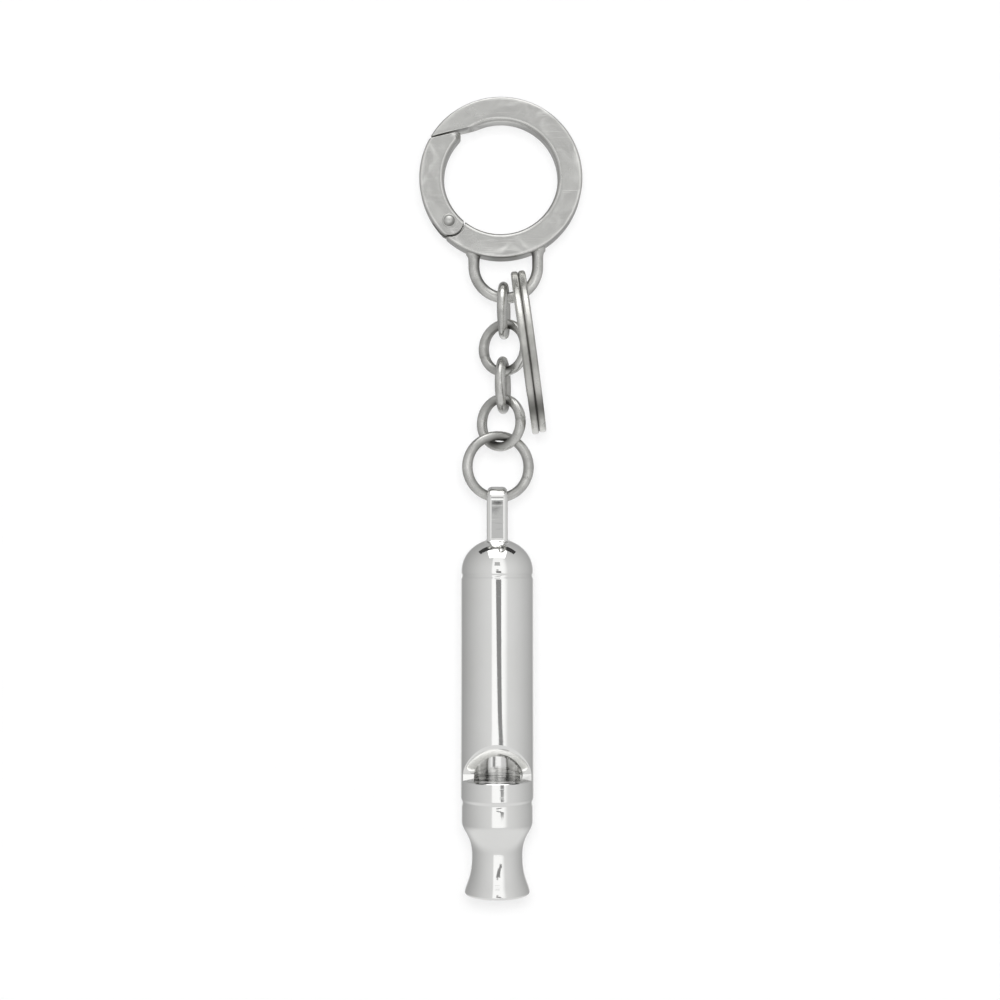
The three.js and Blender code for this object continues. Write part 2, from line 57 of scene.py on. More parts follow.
tongue_thick, tongue_nose, tongue_neck, tongue_back, tongue_reach = 1.1, 1.7, 1.4, 0.9, 4.2
# Strengths of the ring's painted shade: along its edges, on the outer wall below, on the lower inner edge
# and in the hinge's gap.
ring_edge_shade, ring_under_shade, ring_lip_shade, hinge_gap_shade = 0.3, 0.7, 0.55, 0.8
pin_x = hinge_radius * math.cos(hinge_angle)
pin_z = hinge_radius * math.sin(hinge_angle)


def join_sheets(name, sheets, sharp=38.0, tarnish=None):
    """One object from several grids of points. Each sheet is (points, closed_rows, closed_columns), where
    points is a rows by columns by 3 array in millimetres. Each four neighbours make a face, doubled
    points are merged, and the faces are turned outwards. Edges bent by more than sharp degrees stay
    crisp. The darkening given, from 0 to 1, is kept with each point: mostly painted shade, and partly
    real tarnish."""
    points, faces, start = [], [], 0
    for grid, closed_rows, closed_columns in sheets:
        rows, columns = grid.shape[:2]
        index = start + np.arange(rows * columns).reshape(rows, columns)
        if closed_rows:
            index = np.vstack([index, index[:1]])
        if closed_columns:
            index = np.hstack([index, index[:, :1]])
        quads = np.stack([index[:-1, :-1], index[1:, :-1], index[1:, 1:], index[:-1, 1:]], axis=-1)
        points.append(grid.reshape(-1, 3))
        faces.append(quads.reshape(-1, 4))
        start += rows * columns
    mesh = bpy.data.meshes.new(name)
    mesh.from_pydata((np.concatenate(points) * mm).tolist(), [], np.concatenate(faces).tolist())
    # The darkening kept with each point is mostly painted shade, with a little real tarnish.
    if tarnish is not None:
        layer = mesh.attributes.new("tarnish", "FLOAT", "POINT")
        layer.data.foreach_set("value", np.ravel(tarnish).astype(np.float32))
    shell = bmesh.new()
    shell.from_mesh(mesh)
    bmesh.ops.remove_doubles(shell, verts=shell.verts, dist=2e-7)
    bmesh.ops.dissolve_degenerate(shell, edges=shell.edges, dist=1e-7)
    bmesh.ops.recalc_face_normals(shell, faces=shell.faces)
    shell.to_mesh(mesh)
    shell.free()
    mesh.shade_smooth()
    mesh.set_sharp_from_angle(angle=math.radians(sharp))
    piece = bpy.data.objects.new(name, mesh)
    bpy.context.scene.collection.objects.link(piece)
    return piece


def half_section(wall=0.0):
    """Front half of the flat ring's section as (radius, y): up the inner wall, round a quarter circle,
    across the flat face, round another quarter circle and back down the outer wall."""
    turn = np.linspace(0, np.pi / 2, 9)
    half = ring_thick / 2
    inner_corner = np.stack([1 - np.cos(turn), 1 - np.sin(turn)], axis=1) * inner_round
    outer_corner = np.stack([np.sin(turn) - 1, 1 - np.cos(turn)], axis=1) * outer_round
    across = np.linspace(ring_inner + inner_round, ring_outer - outer_round, 12)[1:-1]
    face = np.stack([across, np.full_like(across, -half)], axis=1)
    inner_wall = np.array([[ring_inner, 0.0], [ring_inner, -wall]])
    outer_wall = np.array([[ring_outer, -wall], [ring_outer, 0.0]])
    inner_corner += [ring_inner, -half]
    outer_corner += [ring_outer, -half]
    return np.vstack([inner_wall, inner_corner, face, outer_corner, outer_wall])


def trimmed_arc(front, back, start, end, rows, soft_start=0.0, soft_end=0.0):
    """A section carried round the ring's centre. start and end give the angle of each cut for every
    radius, so that a slanted or hollow cut follows from the radius. Over the last soft millimetres the
    section draws in along a quarter circle, which breaks the cut's edge."""
    loop = np.vstack([front, back[::-1]])
    radius, height = loop[:, 0], loop[:, 1]
    ease = np.array([0.0, 0.1, 0.3, 0.6, 1.0])
    along = [start(radius) + ease[:, None] * soft_start / radius] if soft_start else []
    draw = [soft_start * (1 - np.sqrt(1 - (1 - ease) ** 2))] if soft_start else []
    first = start(radius) + soft_start / radius
    last = end(radius) - soft_end / radius
    share = np.linspace(0, 1, rows)[:, None]
    along.append(first + (last - first) * share)
    draw.append(np.zeros(rows))
    if soft_end:
        along.append(end(radius) - ease[::-1, None] * soft_end / radius)
        draw.append(soft_end * (1 - np.sqrt(1 - (1 - ease[::-1]) ** 2)))
    angle = np.vstack(along)
    shrink = 1 - np.concatenate(draw)[:, None] / (ring_thick / 2)
    radius = ring_middle + (radius - ring_middle) * shrink
    height = height.mean() + (height - height.mean()) * shrink
    return np.stack([radius * np.cos(angle), height + 0 * angle, radius * np.sin(angle)], axis=-1)


def end_strip(row):
    """Closes one end of a carried section: straight lines join each front point to its partner behind."""
    half = len(row) // 2
    return np.stack([row[:half], row[half:][::-1]], axis=1)


def hinge_seat(radius, about):
    """Angle past the hinge at which a circle of the given radius about the ring's centre meets a circle
    of radius about, drawn round the pin: the law of cosines."""
    return np.arccos((radius**2 + hinge_radius**2 - about**2) / (2 * radius * hinge_radius))


def latch_cut(radius, rise):
    """Angle at which each radius meets the latch's slanted line, moved up by rise across itself."""
    across = ring_middle * math.cos(latch_angle - latch_slope - np.pi / 2) + rise
    return latch_slope + np.pi / 2 + np.arccos(np.clip(across / radius, -1, 1))


def prism(outline, low, high):
    """A flat plate: an outline of (x, z) points carried from low to high along y and closed by fans of
    quads to its middle."""
    middle = np.repeat(outline.mean(axis=0)[None], len(outline), axis=0)
    rings = [np.insert(points, 1, y, axis=1) for points, y in
             ((middle, low), (outline, low), (outline, high), (middle, high))]
    return np.stack(rings)


ring_front = half_section()
ring_back = ring_front * [1, -1]
body_arc = trimmed_arc(
    ring_front,
    ring_back,
    start=lambda radius: hinge_angle + hinge_seat(radius, heel_radius + hinge_gap),
    end=lambda radius: latch_cut(radius, latch_gap) + 2 * np.pi,
    rows=260,
    soft_start=cut_ease,
    soft_end=cut_ease,
)
nose = np.linspace(-np.pi / 2, np.pi / 2, 33)
tongue_sides = np.array([-tongue_back, -tongue_reach, -tongue_reach, -tongue_back])
tongue_along = np.concatenate([tongue_nose * np.cos(nose), tongue_sides])
tongue_out = np.concatenate([tongue_nose * np.sin(nose), np.array([1, 1, -1, -1]) * tongue_neck])
tongue = np.stack(
    [
        pin_x + tongue_along * math.sin(hinge_angle) + tongue_out * math.cos(hinge_angle),
        pin_z - tongue_along * math.cos(hinge_angle) + tongue_out * math.sin(hinge_angle),
    ],
    axis=1,
)


def bell(away, width):
    """A bell curve: 1 at no distance away, and a little over a third at the given width."""
    return np.exp(-((away / width) ** 2))


def ring_painted_shades(sheets):
    """Painted shade on the ring, each a bell curve of the distance from its place: dark lines along the
    rounded edges, in the gap of the hinge's seat, on the outer wall below, about the bail's solder, and
    on the lower inner edge, where it dims a highlight."""
    x, y, z = np.concatenate([grid.reshape(-1, 3) for grid, *_ in sheets]).T
    radius, angle = np.hypot(x, z), np.degrees(np.arctan2(z, x))
    edge = ring_edge_shade * bell(np.abs(y) - ring_thick / 2 + 0.2, 0.12)
    below = ring_under_shade * bell(angle + 90, 26) * (radius > ring_outer - 0.25)
    lip = ring_lip_shade * bell(radius - ring_inner - 0.15, 0.25) * np.sqrt(np.clip(-z / radius, 0, 1))
    from_pin = np.hypot(x - pin_x, z - pin_z) - heel_radius - hinge_gap / 2
    past_pin = (z - pin_z) * math.cos(hinge_angle) - (x - pin_x) * math.sin(hinge_angle) > 0
    hinge = hinge_gap_shade * bell(from_pin, 0.26) * past_pin
    return np.max([edge, below, lip, hinge], axis=0)


body_sheets = [
    (body_arc, False, True),
    (end_strip(body_arc[0]), False, False),
    (end_strip(body_arc[-1]), False, False),
    (prism(tongue, -tongue_thick / 2, tongue_thick / 2), False, True),
]
ring_body = join_sheets("ring_body_satin", body_sheets, tarnish=ring_painted_shades(body_sheets))


def fill(tree, node, sockets):
    """Gives each named or numbered socket of a node a value, or a link from another node."""
    for socket, value in sockets.items():
        if isinstance(value, bpy.types.NodeSocket):
            tree.links.new(value, node.inputs[socket])
        else:
            node.inputs[socket].default_value = value
    return node


def add_node(tree, kind, sockets):
    """A new node of a kind, with its sockets filled."""
    return fill(tree, tree.nodes.new(kind), sockets)


def worked_out(tree, operation, *values):
    """The result of one operation on links and numbers."""
    node = tree.nodes.new("ShaderNodeMath")
    node.operation = operation
    return fill(tree, node, dict(enumerate(values))).outputs["Value"]


def ranged(tree, value, start, end, low=0.0, high=1.0, run="LINEAR"):
    """A link's value, carried from the span start to end onto the span low to high and held there."""
    node = tree.nodes.new("ShaderNodeMapRange")
    node.interpolation_type = run
    sockets = {"Value": value, "From Min": start, "From Max": end, "To Min": low, "To Max": high}
    return fill(tree, node, sockets).outputs["Result"]


def mixed(tree, share, first, second, kind="FLOAT"):
    """Two levels or two colours, mixed by a share."""
    node = tree.nodes.new("ShaderNodeMix")
    node.data_type = kind
    return fill(tree, node, {"Factor": share, "A": first, "B": second}).outputs["Result"]


def make_wear_group():
    """Wear that all the silver shares, worked out in the piece's own place: broad mottling where hands
    have dulled it, smooth dents, and fine scratches, which are noise stretched long and thin in three
    directions and cut to its ridges."""
    group = bpy.data.node_groups.new("silver_wear", "ShaderNodeTree")
    for name in ("Mottle Scale", "Scratch Scale"):
        group.interface.new_socket(name, in_out="INPUT", socket_type="NodeSocketFloat")
    for name in ("Mottle", "Dents", "Scratches"):
        group.interface.new_socket(name, in_out="OUTPUT", socket_type="NodeSocketFloat")
    given = group.nodes.new("NodeGroupInput").outputs
    place = group.nodes.new("ShaderNodeTexCoord").outputs["Object"]
    broad = {"Vector": place, "Scale": given["Mottle Scale"]}
    mottle = add_node(group, "ShaderNodeTexNoise", {**broad, "Detail": 5, "Roughness": 0.6})
    dents = add_node(group, "ShaderNodeTexNoise", {**broad, "Detail": 1, "Distortion": 0.6})
    scratches = 0.0
    for turn in ((0.3, 0.2, 0.5), (1.2, -0.4, 2.1), (0.5, 0.9, -1.1)):
        stretch = {"Vector": place, "Rotation": turn, "Scale": (1, 28, 28)}
        lay = add_node(group, "ShaderNodeMapping", stretch).outputs["Vector"]
        fine = {"Vector": lay, "Scale": given["Scratch Scale"], "Detail": 1}
        line = add_node(group, "ShaderNodeTexNoise", fine)
        ridge = ranged(group, line.outputs["Fac"], 0.66, 0.76)
        scratches = worked_out(group, "MAXIMUM", scratches, ridge)
    results = {
        "Mottle": ranged(group, mottle.outputs["Fac"], 0.3, 0.7),
        "Dents": dents.outputs["Fac"],
        "Scratches": scratches,
    }
    add_node(group, "NodeGroupOutput", results)
    return group


silver_wear = make_wear_group()
# Colour and added roughness of the point darkening, which is mostly painted shade and partly real tarnish.
stain_and_shade_colour, stain_and_shade_rough = (0.09, 0.088, 0.08), 0.35
dent_deep, scratch_deep = 0.0005, 0.00003


def silver(name, bright, dull, roughness, scales, strengths):
    """A silver finish. Colour and roughness run from bright and smooth to dull and rough with the
    mottling, and the darkening kept with each point, mostly painted shade and partly real tarnish,
    darkens and roughens them. A bump takes the dents and the scratches. scales are those of the
    mottling and the scratches, strengths those of the dents and the scratches."""
    material = bpy.data.materials.new(name)
    material.use_nodes = True
    tree = material.node_tree
    wear = tree.nodes.new("ShaderNodeGroup")
    wear.node_tree = silver_wear
    fill(tree, wear, {"Mottle Scale": scales[0], "Scratch Scale": scales[1]})
    mottle = wear.outputs["Mottle"]
    # The point darkening: painted shade in gaps, recesses, contacts and on edges, plus a little real
    # tarnish.
    mark = tree.nodes.new("ShaderNodeAttribute")
    mark.attribute_name = "tarnish"
    stain = mark.outputs["Fac"]
    colour = mixed(tree, mottle, (*bright, 1), (*dull, 1), "RGBA")
    gloss = ranged(tree, mottle, 0, 1, *roughness)
    dents = {"Height": wear.outputs["Dents"], "Strength": strengths[0], "Distance": dent_deep}
    dented = add_node(tree, "ShaderNodeBump", dents).outputs["Normal"]
    lines = {"Height": wear.outputs["Scratches"], "Strength": strengths[1], "Distance": scratch_deep}
    scratched = add_node(tree, "ShaderNodeBump", {**lines, "Normal": dented})
    scratched.invert = True
    finish = {
        "Metallic": 1.0,
        "Base Color": mixed(tree, stain, colour, (*stain_and_shade_colour, 1), "RGBA"),
        "Roughness": worked_out(tree, "MULTIPLY_ADD", stain, stain_and_shade_rough, gloss),
        "Normal": scratched.outputs["Normal"],
    }
    fill(tree, tree.nodes["Principled BSDF"], finish)
    return material


satin_silver = silver(
    "satin_silver", (0.78, 0.777, 0.757), (0.64, 0.64, 0.62), (0.16, 0.28), (260, 130), (0.28, 0.12)
)
ring_body.data.materials.append(satin_silver)
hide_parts("ring_body")
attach(ring_body, "gate_ring")

# Gate
# The ring's left arc, cast with it and sawn free. Its lower end is a fork with a rounded heel about
# the pin, and its tip is bevelled on the inside, where a thumb pushes it in.
fork_clear, tip_reach, tip_soft = 0.3, 2.6, 0.1
fork_half = tongue_thick / 2 + fork_clear
fork_floor = tongue_nose + fork_clear
tip_x = ring_middle * math.cos(latch_angle) + tip_reach * math.cos(latch_slope)
tip_bevel_length, tip_bevel_depth, tip_bevel_ease = 0.9, 1.1, 0.05

gate_front = half_section(fork_half)
gate_back = gate_front * [1, -1]


def tip_cut(radius):
    """Angle at which the gate starts: the latch's line, or the squared tip where that line runs on."""
    return np.maximum(latch_cut(radius, 0.0), np.arccos(np.clip(tip_x / radius, -1, 1)))


def fork_cut(radius):
    """Angle of the fork's floor: a straight line a fixed way from the pin, across the gate."""
    return hinge_angle - np.arcsin(fork_floor / radius)


def heel_cut(radius):
    """Angle of the rounded heel, a circle about the pin."""
    return hinge_angle + hinge_seat(radius, heel_radius)


def bevel_tip(points):
    """Thins the gate towards its inner tip: the half thickness falls in a straight line past the bevel's
    start, with its corner eased by a soft minimum."""
    into = (points[..., 0] - tip_x + tip_bevel_length) / tip_bevel_length
    limit = ring_thick / 2 - tip_bevel_depth * np.clip(into, 0, 1)
    near_tip = (points[..., 2] > 0) & (into > -0.2)
    half = np.abs(points[..., 1])
    eased = -tip_bevel_ease * np.log(np.exp(-half / tip_bevel_ease) + np.exp(-limit / tip_bevel_ease))
    bevelled = np.sign(points[..., 1]) * np.maximum(eased, 0)
    points[..., 1] = np.where(near_tip, bevelled, points[..., 1])
    return points


gate_arc = bevel_tip(trimmed_arc(gate_front, gate_back, tip_cut, fork_cut, 170, tip_soft))
gate_radius = gate_front[:, 0]
front_cheek = np.stack([gate_radius, np.minimum(gate_front[:, 1], -fork_half)], axis=1)
front_floor = np.stack([gate_radius, np.full(len(gate_front), -fork_half)], axis=1)
front_arc = trimmed_arc(front_cheek, front_floor, fork_cut, heel_cut, 60)
back_arc = front_arc * [1, -1, 1]
floor_angle = fork_cut(gate_radius)
floor_row = np.stack(
    [gate_radius * np.cos(floor_angle), front_floor[:, 1], gate_radius * np.sin(floor_angle)], axis=1
)
gate_sheets = [
    (gate_arc, False, True),
    (end_strip(gate_arc[0]), False, False),
    (np.stack([floor_row, floor_row * [1, 0, 1], floor_row * [1, -1, 1]], axis=1), False, False),
    (front_arc, False, True),
    (end_strip(front_arc[-1]), False, False),
    (back_arc, False, True),
    (end_strip(back_arc[-1]), False, False),
]
gate = join_sheets("gate_satin", gate_sheets, tarnish=ring_painted_shades(gate_sheets))
gate.data.materials.append(satin_silver)
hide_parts("gate")
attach(gate, "gate")

# Gate pin
# A rivet through the fork and the tongue, peened over at both faces into a low button with a ring
# pressed round it. The pressed ring is darker, and the button's lower right carries a painted shade.
pin_half = np.array(
    [
        [0, 2.13], [0.25, 2.12], [0.5, 2.08], [0.72, 2.0], [0.86, 1.9], [0.95, 1.87], [1.03, 1.91],
        [1.14, 1.95], [1.24, 1.92], [1.3, 1.86], [1.3, 1.8], [0.65, 1.7], [0.65, 0],
    ]
)
pin_columns, pin_groove, pin_shoulder = 40, 0.96, 0.72


def turned(profile, columns):
    """A profile of (radius, height) points turned about z: a grid of profile point by angle."""
    angle = np.linspace(0, 2 * np.pi, columns, endpoint=False)
    radius, height = profile[:, :1], profile[:, 1:]
    return np.stack([radius * np.sin(angle), -radius * np.cos(angle), height + 0 * angle], axis=-1)


pin_profile = np.vstack([pin_half, (pin_half * [1, -1])[-2::-1]])
pin_grid = turned(pin_profile, pin_columns)
pin_grid = np.stack([pin_grid[..., 0] + pin_x, pin_grid[..., 2], pin_grid[..., 1] + pin_z], axis=-1)
pin_angle = np.linspace(0, 2 * np.pi, pin_columns, endpoint=False)
# Painted shade on the button, darkest at its lower right.
pin_shade = (0.5 + 0.5 * np.cos(pin_angle - np.pi / 4)) ** 2
pin_radius = pin_profile[:, :1]
# The pressed ring round the button is darker.
pin_groove_dark = 0.7 * bell(pin_radius - pin_groove, 0.08)
pin_groove_and_shade = pin_groove_dark + 0.6 * bell(pin_radius - pin_shoulder, 0.25) * pin_shade
gate_pin = join_sheets("gate_pin_satin", [(pin_grid, False, True)], 60, pin_groove_and_shade)
pin_silver = silver(
    "pin_silver", (0.66, 0.66, 0.64), (0.5, 0.5, 0.485), (0.25, 0.4), (600, 300), (0.1, 0.3)
)
gate_pin.data.materials.append(pin_silver)
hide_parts("gate_pin")
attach(gate_pin, "gate_ring")

# Gate spring
# A hairpin of rolled steel strip in the gate's pocket. It is hidden unless the gate is taken out, so
# its solid stays and takes a plain rolled finish.
spring_steel = silver(
    "spring_steel", (0.56, 0.57, 0.58), (0.4, 0.41, 0.42), (0.35, 0.5), (900, 500), (0.05, 0.4)
)
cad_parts["gate_spring"].data.materials.clear()
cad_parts["gate_spring"].data.materials.append(spring_steel)

# Bail
# A U of round silver wire. Its two ends run up against the ring's outer edge and are soldered there,
# with a small fillet of solder round each. The inner side of the wire carries a painted shade, deepest
# next to the ring.
bail_wire, bail_bend, bail_x, bail_low, bail_sides = 1.02, 5.87, 0.92, -22.1, 28
bail_bend_z = bail_low + bail_bend
left_tuck, right_tuck = 0.7, 0.9
solder_full, solder_fall = 0.42, 0.32


def wire_along(path, side, radius, sides):
    """A round wire: circles of the given radius round each path point, in the plane of the side direction
    and of what is square to both the path and the side."""
    around = np.linspace(0, 2 * np.pi, sides, endpoint=False)
    forward = np.gradient(path, axis=0)
    forward /= np.linalg.norm(forward, axis=1, keepdims=True)
    square = np.cross(forward, side)
    square /= np.linalg.norm(square, axis=1, keepdims=True)
    radius = np.broadcast_to(radius, len(path))[:, None, None]
    ring = np.cos(around)[None, :, None] * square[:, None] + np.sin(around)[None, :, None] * side
    return path[:, None] + radius * ring


def capped(tube, stain, end_stain):
    """A tube's sheet and a fan of faces to the middle of each end, its sharp angle and all its painted
    shade and stain.
    """
    ends = [np.stack([row, np.repeat(row.mean(axis=0)[None], len(row), axis=0)]) for row in tube[[0, -1]]]
    sheets = [(grid, False, True) for grid in (tube, *ends)]
    return sheets, 38, np.concatenate([stain.ravel(), np.full(2 * ends[0][..., 0].size, end_stain)])


bend_angle = np.linspace(np.pi, 2 * np.pi, 73)
bend_x = bail_x + bail_bend * np.cos(bend_angle)
bend_path = np.stack([bend_x, 0 * bend_x, bail_bend_z + bail_bend * np.sin(bend_angle)], axis=1)
left_top = -math.sqrt(ring_outer**2 - (bail_x - bail_bend) ** 2) + left_tuck
right_top = -math.sqrt(ring_outer**2 - (bail_x + bail_bend) ** 2) + right_tuck
left_leg = np.linspace([bail_x - bail_bend, 0, left_top], bend_path[0], 30)[:-1]
right_leg = np.linspace(bend_path[-1], [bail_x + bail_bend, 0, right_top], 30)[1:]
bail_path = np.vstack([left_leg, bend_path, right_leg])
from_ring = np.hypot(bail_path[:, 0], bail_path[:, 2]) - ring_outer
bail_radius = bail_wire + solder_full * np.exp(-np.clip(from_ring, 0, None) / solder_fall)
bail_tube = wire_along(bail_path, np.array([0.0, 1.0, 0.0]), bail_radius, bail_sides)
# Painted shade on the wire's inner side, deepest next to the ring.
bail_inner_shade = (0.5 + 0.5 * np.cos(np.linspace(0, 2 * np.pi, bail_sides, endpoint=False))) ** 3
bail_shade_depth = 0.6 + 0.25 * bell(from_ring, 1.2)
bail = join_sheets("bail_wire", *capped(bail_tube, bail_shade_depth[:, None] * bail_inner_shade, 0.0))
worn_silver = silver(
    "worn_silver", (0.77, 0.767, 0.745), (0.52, 0.52, 0.5), (0.16, 0.32), (330, 170), (0.3, 0.4)
)
bail.data.materials.append(worn_silver)
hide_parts("bail")
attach(bail, "gate_ring")

# Chain links
# Four round rings of drawn wire, each closed through the last and soldered at a butt joint that
# shows as a fine dint. They hang turned nearly square to each other.
link_middle, link_wire, link_fuller = 4.425, 0.865, 0.1
link_turns = [86, -31, 83, -37]
link_joints = [40, 200, 130, 5]
dint_deep, dint_wide, dint_stain, most_stain = 0.05, 0.15, 0.2, 0.9


def middle_of(node):
    """The middle of a solid's box, in millimetres."""
    low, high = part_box(node)
    return (np.array(low) + np.array(high)) / 2 / mm


def add_wire_ring(node, body, middle, wire, turn, joint):
    """A closed wire ring in place of a node: a circle of radius wire carried round a circle of radius
    middle, upright and turned about the vertical. The wire is fuller at its sides than at its top and
    foot, where it touches the next ring, and thins by a narrow bell curve at its butt joint. Its inner
    side carries a painted shade, deepest at the top and foot, and the butt joint is stained dark."""
    along = np.linspace(0, 2 * np.pi, 240, endpoint=False)[:, None]
    around = np.linspace(0, 2 * np.pi, 32, endpoint=False)[None]
    from_joint = ((along - math.radians(joint) + np.pi) % (2 * np.pi) - np.pi) * middle
    thin = wire + link_fuller * np.cos(along) ** 4 - dint_deep * bell(from_joint, dint_wide)
    reach = middle + thin * np.cos(around)
    flat = reach * np.cos(along)
    deep = thin * np.sin(around) + 0 * along
    turn = math.radians(turn)
    centre = middle_of(node)
    x = centre[0] + flat * math.cos(turn) - deep * math.sin(turn)
    y = centre[1] + flat * math.sin(turn) + deep * math.cos(turn)
    grid = np.stack([x, y, centre[2] + reach * np.sin(along)], axis=-1)
    # Painted shade on the wire's inner side, deepest at the top and foot where it touches the next ring.
    inner = (0.5 - 0.5 * np.cos(around)) ** 1.5
    at_contacts = np.sin(along) ** 4
    stain = inner * (0.25 + 0.7 * at_contacts) + dint_stain * bell(from_joint, 2 * dint_wide)
    ring = join_sheets(node + "_wire", [(grid, True, True)], 60, np.clip(stain, 0, most_stain))
    ring.data.materials.append(worn_silver)
    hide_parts(node)
    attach(ring, body)


for number, (turn, joint) in enumerate(zip(link_turns, link_joints), 1):
    add_wire_ring(f"chain_link_{number}", f"link_{number}", link_middle, link_wire, turn, joint)

# Split key ring
# Two turns of flat wire wound close on each other, with a step where the wire passes from one turn to
# the next, and square-cut ends beside it. It leans on the bail beside the first link.
split_outer, split_wide, split_thick, split_pitch = 15.0, 2.2, 1.31, 1.34
split_round, split_end_ease, split_end_stain = 0.45, 0.2, 0.5
split_lean, split_yaw, split_shift = math.radians(7.6), math.radians(1.8), 0.38
split_centre = middle_of("split_ring") + [split_shift, 0, 0]
jog_half, jog_place, end_clear = 25.0, 300.0, 8.0
foot_patch, middle_patch = 229, 192


def flat_wire_loop(thick, wide, rounding, steps=7):
    """A rounded rectangle as (along the coil's axis, along its radius), run round once."""
    turn = np.linspace(0, np.pi / 2, steps)
    quarter = np.arange(4)[:, None] * np.pi / 2 + turn
    across = np.array([1, -1, -1, 1])[:, None] * (thick / 2 - rounding) + rounding * np.cos(quarter)
    out = np.array([1, 1, -1, -1])[:, None] * (wide / 2 - rounding) + rounding * np.sin(quarter)
    return np.stack([across.ravel(), out.ravel()], axis=1)


def coil_of_two(loop):
    """The flat wire carried round twice less the gap at its ends. Its place along the axis moves from one
    turn to the other on a smooth step of the angle, centred half way along the wire. The sides that face
    the other turn carry a painted shade, and two patches in front, half way down and near the foot, are
    darker."""
    first = jog_half + end_clear
    angle = np.linspace(first, 720 - first, 420)
    share = np.clip((angle - 360 + jog_half) / (2 * jog_half), 0, 1)
    step = share**3 * (share * (6 * share - 15) + 10)
    place = np.radians(angle + jog_place)[:, None]
    edge = np.minimum(angle - first, 720 - first - angle) * np.pi / 180 * split_outer
    inside = np.clip(1 - edge / split_end_ease, 0, 1)
    soft = split_end_ease * (1 - np.sqrt(1 - inside**2))[:, None]
    axial = split_pitch * (step[:, None] - 0.5) + loop[:, 0] * (1 - soft / (split_thick / 2))
    radius = split_outer - split_wide / 2 + loop[:, 1] * (1 - soft / (split_wide / 2))
    back = radius * np.cos(place)
    up = radius * np.sin(place)
    side = axial * math.cos(split_lean) - up * math.sin(split_lean)
    x = split_centre[0] + side * math.cos(split_yaw) + back * math.sin(split_yaw)
    y = split_centre[1] + back * math.cos(split_yaw) - side * math.sin(split_yaw)
    z = split_centre[2] + axial * math.sin(split_lean) + up * math.cos(split_lean)
    # Painted shade on the sides that face the other turn.
    between_turns_shade = np.clip(loop[:, 0] / (split_thick / 2) * np.where(angle < 360, 1, -1)[:, None], 0, 1) ** 6
    round_ring = (angle + jog_place) % 360
    # Two darker patches in front.
    patch = 0.75 * bell(round_ring - foot_patch, 11) + 0.3 * bell(round_ring - middle_patch, 14)
    return np.stack([x, y, z], axis=-1), np.clip(0.6 * between_turns_shade + patch[:, None], 0, most_stain)


split_grid, split_darkening = coil_of_two(flat_wire_loop(split_thick, split_wide, split_round))
split_ring = join_sheets("split_ring_wire", *capped(split_grid, split_darkening, split_end_stain))
split_silver = silver(
    "split_silver", (0.86, 0.855, 0.825), (0.56, 0.56, 0.53), (0.18, 0.34), (230, 150), (0.3, 0.3)
)
split_ring.data.materials.append(split_silver)
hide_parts("split_ring")
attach(split_ring, "key_ring")

# Jump ring
# A larger ring of the same drawn wire, opened once to take the whistle and the last link.
jump_middle, jump_turn, jump_joint = 5.685, 10, 338
add_wire_ring("jump_ring", "jump_ring", jump_middle, link_wire, jump_turn, jump_joint)

# Whistle end cap
# A turned and mirror-polished dome with a soft groove round its rim and a flat lug on top. The lug's
# round end is bored across for the jump ring, with the hole's mouths eased. The lug's edges are rounded
# and its foot runs into the dome with a small fillet.
lug_half, lug_round, lug_hole, lug_mouth = 1.9, 2.6, 1.7, 2.15
lug_ease_across, lug_ease_deep, lug_taper, lug_taper_from = 0.85, 0.55, 0.12, -0.2
lug_foot, lug_low, lug_edge_shade = -6.4, -9.4, 0.14
lug_fillet, fillet_out, fillet_up, fillet_end = 0.8, 0.47, 0.85, 0.97
lug_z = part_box("end_cap")[1][2] / mm - lug_round
lug_rise, rim_high = 6.9, 1.5
dome_wide, dome_high, dome_top = 6.55, 5.9, lug_z - lug_rise
dome_foot = dome_top - dome_high
barrel_top = dome_foot - rim_high
barrel_wide, barrel_bore = 6.6, 4.8
whistle_x = middle_of("barrel")[0]
spigot_wide, spigot_foot = barrel_bore - 0.1, barrel_top - 4.0
seam_steps, seam_high, seam_wide = 13, 0.6, 6.42
press_wide = barrel_wide - 0.02


